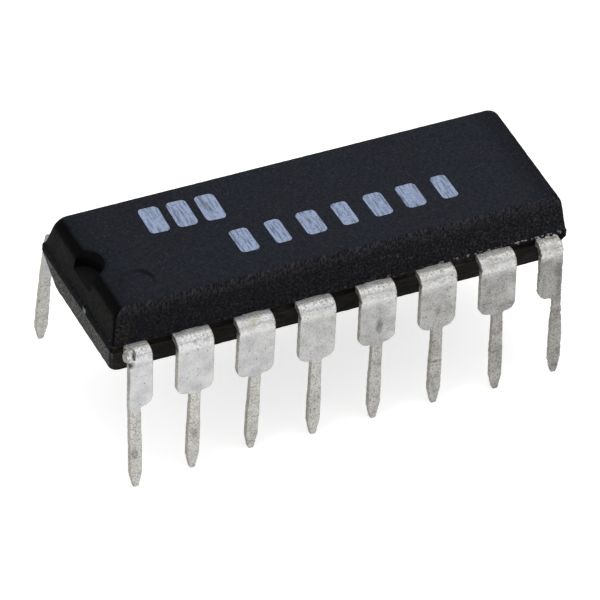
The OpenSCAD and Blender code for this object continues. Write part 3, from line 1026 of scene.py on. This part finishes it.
def solder_extras(settings, number, bm):
    """Adds to a lead's mesh, in millimetres, the solder that runs up to the wall, and one blob."""
    points = np.array([v.co for v in bm.verts])
    side = math.copysign(1, points[:, 1].mean())
    arm = points[(abs(points[:, 1]) > ARM_OUT) & (points[:, 2] > ARM_UP)]
    left, right = arm[:, 0].min(), arm[:, 0].max()
    top = arm[:, 2].max()
    size = Matrix.Diagonal((right - left - RUN_INSET, RUN_DEPTH, RUN_HEIGHT, 1.0))
    out = side * (settings.wall_y / MM + RUN_SHIFT)
    place = Matrix.Translation(((left + right) / 2, out, top - RUN_SHIFT))
    bmesh.ops.create_cube(bm, size=1.0, matrix=place @ size)
    if number == BLOB_LEAD:
        place = Matrix.Translation(BLOB_PLACE) @ Matrix.Diagonal((*BLOB_STRETCH, 1.0))
        bmesh.ops.create_icosphere(bm, subdivisions=3, radius=settings.blob_radius / MM, matrix=place)


def make_lead(settings, number):
    """One lead with a softened, uneven coat of solder, roughest at the blob and on the ragged lead."""
    node = f"lead_{number:02d}"
    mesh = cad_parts[node].data.copy()
    mesh.transform(Matrix.Scale(1 / MM, 4))
    bm = bmesh.new()
    bm.from_mesh(mesh)
    solder_extras(settings, number, bm)
    bm.to_mesh(mesh)
    bm.free()
    piece = show(bpy.data.objects.new(f"solder_{node}", mesh))
    remesh = piece.modifiers.new("remesh", "REMESH")
    remesh.mode, remesh.voxel_size = "VOXEL", settings.voxel / MM
    smooth = piece.modifiers.new("smooth", "SMOOTH")
    smooth.factor, smooth.iterations = 0.5, 2
    apply_modifiers(piece)
    piece.data.transform(Matrix.Scale(MM, 4))
    places, normals = vertex_arrays(piece.data)
    outside = np.abs(places[:, 1]) > settings.wall_y
    uneven = rough_field(places, UNEVEN_SIZE, 3 + number)
    fine = rough_field(places, FINE_SIZE, 30 + number)
    coat = settings.coat * np.clip((places[:, 2] - COAT_START) / COAT_RISE, 0, 1)
    depth = settings.solder_depth * (0.6 * uneven + 0.4 * fine) - coat
    if number == BLOB_LEAD:
        on_blob = (places[:, 0] < BLOB_END) & (places[:, 2] > ARM_UP * MM)
        depth += BLOB_ROUGHNESS * settings.solder_depth * (fine - 0.5) * on_blob
    if number == RAGGED_LEAD:
        depth += RAGGEDNESS * settings.solder_depth * np.clip(2.5 * (fine - 0.45), 0, 1)
    places -= normals * (depth * outside)[:, None]
    set_places(piece.data, np.clip(places, np.array(PART_LOW), np.array(PART_HIGH)))
    piece.data.shade_smooth()
    return piece


def rounded_loop(width, height, radius, steps=5):
    """Points of a rounded rectangle round the origin."""
    points = []
    for turn, (sx, sy) in enumerate([(1, 1), (-1, 1), (-1, -1), (1, -1)]):
        for s in range(steps + 1):
            angle = math.pi / 2 * (turn + s / steps)
            x = sx * (width / 2 - radius) + radius * math.cos(angle)
            y = sy * (height / 2 - radius) + radius * math.sin(angle)
            points.append((x, y))
    return points


MARK_ROUNDING = 0.24  # corner radius of a mark, as a share of its shorter side
WOBBLE_DEPTH, WOBBLE_SIZE = 0.018 * MM, 0.15 * MM
# Each row of marks in millimetres: widths, height, first middle, step to the next, and the turn in degrees
MARK_ROWS = (
    ((0.82, 0.82, 0.82), 1.45, (-5.85, 1.34), (1.15, -0.035), -1.8),
    ((0.78, 0.66, 0.84, 0.66, 0.78, 0.84, 0.66), 1.3, (-3.14, -0.88), (1.41, 0.02), 0.8),
)
MARK_DROP = 0.002 * MM  # how far the ink lies below the solids' top


def add_mark(bm, centre, size, turn, low, high):
    """Adds a flat block of ink with round corners and slightly uneven edges."""
    cos, sin = math.cos(turn), math.sin(turn)
    rings = []
    for z in (low, high):
        ring = []
        for u, v in rounded_loop(*size, MARK_ROUNDING * min(size)):
            x = centre[0] + cos * u - sin * v
            y = centre[1] + sin * u + cos * v
            wobble = WOBBLE_DEPTH * noise.noise(Vector((x, y, 0)) / WOBBLE_SIZE)
            ring.append(bm.verts.new((x + wobble, y - wobble, z)))
        rings.append(ring)
    join_rings(bm, *rings)
    bm.faces.new(rings[1])
    bm.faces.new(reversed(rings[0]))


def make_marks(settings):
    """Plain printed blocks: three in the upper place, and a row of seven below."""
    bm = bmesh.new()
    high = BODY_HIGH.z - MARK_DROP
    low = high - settings.thickness
    for widths, height, first, step, turn in MARK_ROWS:
        for n, width in enumerate(widths):
            centre = ((first[0] + step[0] * n) * MM, (first[1] + step[1] * n) * MM)
            add_mark(bm, centre, (width * MM, height * MM), math.radians(turn), low, high)
    return piece_from("printed_marks", bm)


# Operators


class CHIP_OT_moulding(bpy.types.Operator):
    """Build the moulded body with its grain, notch, dimple and ejector marks"""

    bl_idname = "chip.moulding"
    bl_label = "Moulding"

    def execute(self, context):
        settings = context.scene.chip_moulding
        piece = make_moulding(settings)
        dress(piece, moulding_material(settings))
        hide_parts("moulded_body")
        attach(piece, "root")
        return {"FINISHED"}


class CHIP_OT_leads(bpy.types.Operator):
    """Build the sixteen solder-dipped leads"""

    bl_idname = "chip.leads"
    bl_label = "Leads"

    def execute(self, context):
        settings = context.scene.chip_leads
        material = solder_material(settings)
        for number in range(1, LEAD_COUNT + 1):
            piece = make_lead(settings, number)
            dress(piece, material)
            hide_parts(f"lead_{number:02d}")
            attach(piece, "root")
        return {"FINISHED"}


class CHIP_OT_inside(bpy.types.Operator):
    """Give the pad, adhesive, die and bond wires their finishes"""

    bl_idname = "chip.inside"
    bl_label = "Parts inside"

    def execute(self, context):
        settings = context.scene.chip_inside
        outside = (settings.tie_colour, settings.patina_colour)
        copper = inner_material("copper_strip", settings.copper_colour, 1.0, 0.35, 2.5, outside)
        gold = inner_material("gold_wire", settings.gold_colour, 1.0, 0.2, 6.0)
        adhesive = inner_material("silver_adhesive", settings.adhesive_colour, 0.4, 0.6, 5.0)
        silicon = inner_material("silicon", settings.silicon_colour, 0.2, 0.15, 3.0)
        finishes = {"die_pad": copper, "die_attach": adhesive, "die": silicon}
        for number in range(1, LEAD_COUNT + 1):
            finishes[f"bond_wire_{number:02d}"] = gold
        for node, material in finishes.items():
            dress(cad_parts[node], material)
        return {"FINISHED"}


class CHIP_OT_marks(bpy.types.Operator):
    """Print the plain marks on the top face"""

    bl_idname = "chip.marks"
    bl_label = "Printed marks"

    def execute(self, context):
        settings = context.scene.chip_marks
        piece = make_marks(settings)
        dress(piece, ink_material(settings))
        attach(piece, "root")
        return {"FINISHED"}


class CHIP_OT_stage(bpy.types.Operator):
    """Set up the floor, lights, world and camera"""

    bl_idname = "chip.stage"
    bl_label = "Stage"

    def execute(self, context):
        settings = context.scene.chip_stage
        make_floor(settings)
        make_world(context.scene, settings)
        add_light("key_light", *KEY_LIGHT, settings.key_power)
        add_light("fill_light", *FILL_LIGHT, settings.fill_power)
        context.scene.camera = make_camera(settings)
        context.scene.view_settings.view_transform = "Standard"
        return {"FINISHED"}


FLOOR_HALF = 1.5
# Place and width of each light, and the point that they are aimed at
KEY_LIGHT = ((0.05, 0.1, 0.6), 0.34)
FILL_LIGHT = ((-0.45, -0.1, 0.35), 0.3)
LIGHT_AIM = Vector((0, 0, 5 * MM))
SENSOR_WIDTH = 36


def make_floor(settings):
    """A white floor that stays white where it is seen, and keeps the chip's shadow."""
    corners = [(x * FLOOR_HALF, y * FLOOR_HALF, 0) for x, y in ((-1, -1), (1, -1), (1, 1), (-1, 1))]
    floor = show(bpy.data.objects.new("floor", mesh_from("floor", corners, [(0, 1, 2, 3)])))
    made, tree, shader = new_material("white_floor")
    inputs = {"Base Color": (0.9, 0.9, 0.9, 1), "Roughness": 0.9, "Specular IOR Level": 0.1}
    set_inputs(tree, shader, inputs)
    strength = multiply(tree, seen_directly(tree), settings.floor_lift)
    glow = add_node(tree, "ShaderNodeEmission", {"Strength": strength})
    both = add_node(tree, "ShaderNodeAddShader", {0: shader.outputs["BSDF"], 1: glow.outputs["Emission"]})
    tree.links.new(both.outputs["Shader"], tree.nodes["Material Output"].inputs["Surface"])
    dress(floor, made)


def make_world(scene, settings):
    """Even pale light all round, and plain white where it is seen."""
    world = bpy.data.worlds.new("studio")
    world.use_nodes = True
    tree = world.node_tree
    strength = remap(tree, seen_directly(tree), 0.0, 1.0, settings.world_strength, 1.0)
    set_inputs(tree, tree.nodes["Background"], {"Color": (1, 1, 1, 1), "Strength": strength})
    scene.world = world


def add_light(name, place, size, power):
    """A square soft light aimed at the chip."""
    data = bpy.data.lights.new(name, "AREA")
    data.shape, data.size, data.energy = "SQUARE", size, power
    light = show(bpy.data.objects.new(name, data))
    light.location = place
    light.rotation_euler = (LIGHT_AIM - Vector(place)).to_track_quat("-Z", "Y").to_euler()


def make_camera(settings):
    """The camera of the photograph's view."""
    a, e, r = settings.azimuth, settings.elevation, settings.roll
    back = Vector((math.sin(a) * math.cos(e), -math.cos(a) * math.cos(e), math.sin(e)))
    level = Vector((math.cos(a), math.sin(a), 0))
    up = back.cross(level)
    right = math.cos(r) * level + math.sin(r) * up
    top = -math.sin(r) * level + math.cos(r) * up
    data = bpy.data.cameras.new("camera")
    data.sensor_width, data.lens = SENSOR_WIDTH, settings.lens
    data.clip_start, data.clip_end = 0.01, 10
    camera = show(bpy.data.objects.new("camera", data))
    turn = Matrix((right, top, back)).transposed().to_4x4()
    camera.matrix_world = Matrix.Translation(Vector(settings.target) + back * settings.distance) @ turn
    return camera


OPERATORS = (CHIP_OT_moulding, CHIP_OT_leads, CHIP_OT_inside, CHIP_OT_marks, CHIP_OT_stage)
GROUPS = {
    "chip_moulding": MouldingSettings,
    "chip_leads": LeadSettings,
    "chip_inside": InsideSettings,
    "chip_marks": MarkSettings,
    "chip_stage": StageSettings,
}


class CHIP_PT_panel(bpy.types.Panel):
    """Lists the chip's settings and the buttons that build it"""

    bl_idname = "CHIP_PT_panel"
    bl_label = "Dual in-line chip"
    bl_space_type = "VIEW_3D"
    bl_region_type = "UI"
    bl_category = "Chip"

    def draw(self, context):
        for operator, name in zip(OPERATORS, GROUPS):
            box = self.layout.box()
            settings = getattr(context.scene, name)
            for key in settings.__annotations__:
                box.prop(settings, key)
            box.operator(operator.bl_idname)


CLASSES = (*GROUPS.values(), *OPERATORS, CHIP_PT_panel)


def register():
    for cls in CLASSES:
        bpy.utils.register_class(cls)
    for name, group in GROUPS.items():
        setattr(bpy.types.Scene, name, PointerProperty(type=group))


def unregister():
    for name in GROUPS:
        delattr(bpy.types.Scene, name)
    for cls in reversed(CLASSES):
        bpy.utils.unregister_class(cls)


def main():
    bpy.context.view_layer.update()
    register()
    bpy.ops.chip.moulding()
    bpy.ops.chip.leads()
    bpy.ops.chip.inside()
    bpy.ops.chip.marks()
    bpy.ops.chip.stage()


if __name__ == "__main__":
    main()
